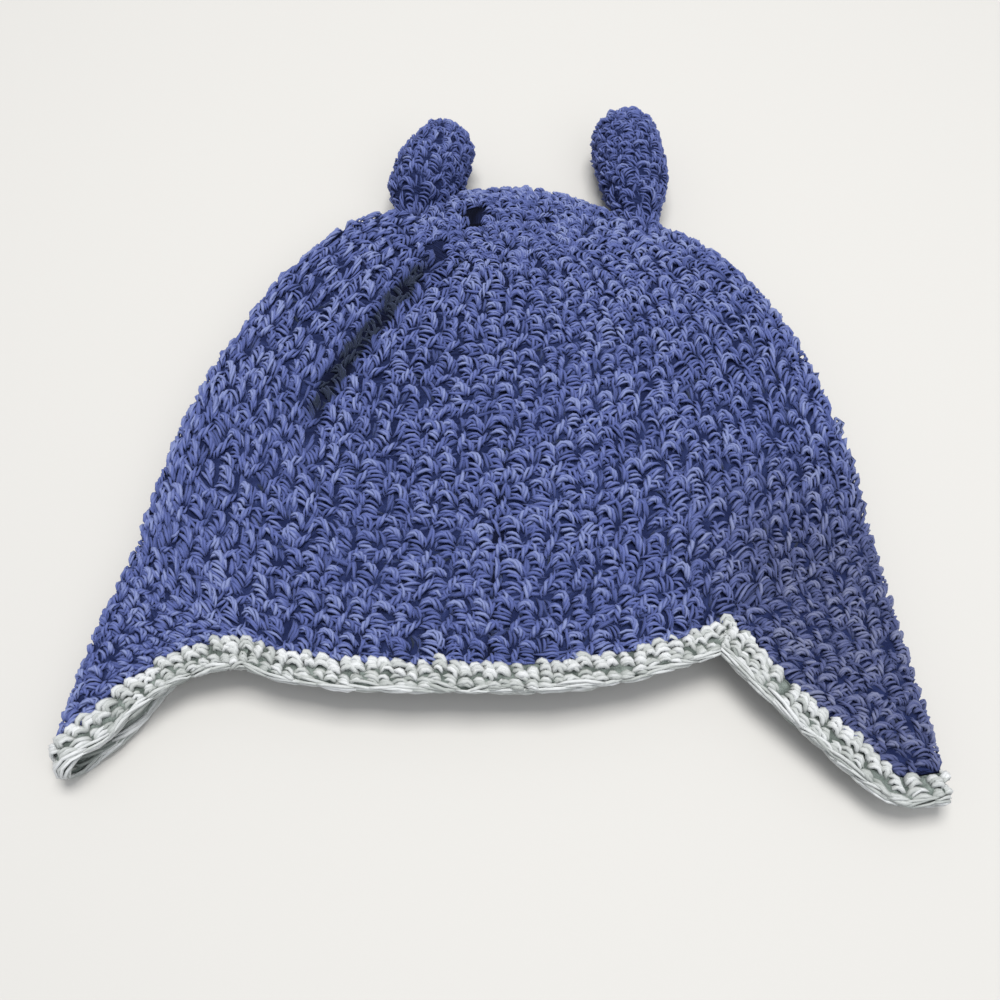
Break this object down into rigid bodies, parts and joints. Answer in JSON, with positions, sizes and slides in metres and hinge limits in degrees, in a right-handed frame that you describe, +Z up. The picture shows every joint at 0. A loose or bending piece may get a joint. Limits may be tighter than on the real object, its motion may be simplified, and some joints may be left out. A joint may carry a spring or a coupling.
{
  "type": "baby hat with ears",
  "caption": "Crocheted baby hat lying flat, with stuffed ears on the crown and pointed earflaps, edged in a pale round of stitches; keeps a baby's head and ears warm",
  "frame": {"origin": "under the middle of the whole hat, on the surface it lies on", "axes": "+X across the hat, from the earflap that lies shorter to the one that lies longer; +Y from the brim towards the crown and its ears; +Z up, out of the front layer"},
  "size_m": [0.2098, 0.2182, 0.0221],
  "materials": {
    "navy_yarn": "matte",
    "sage_yarn": "matte"
  },
  "bodies": {
    "root": {"hat_body": "navy_yarn", "earflap_left": "navy_yarn", "earflap_right": "navy_yarn", "edging": "sage_yarn", "ear_left": "navy_yarn", "ear_right": "navy_yarn"}
  },
  "joints": []
}
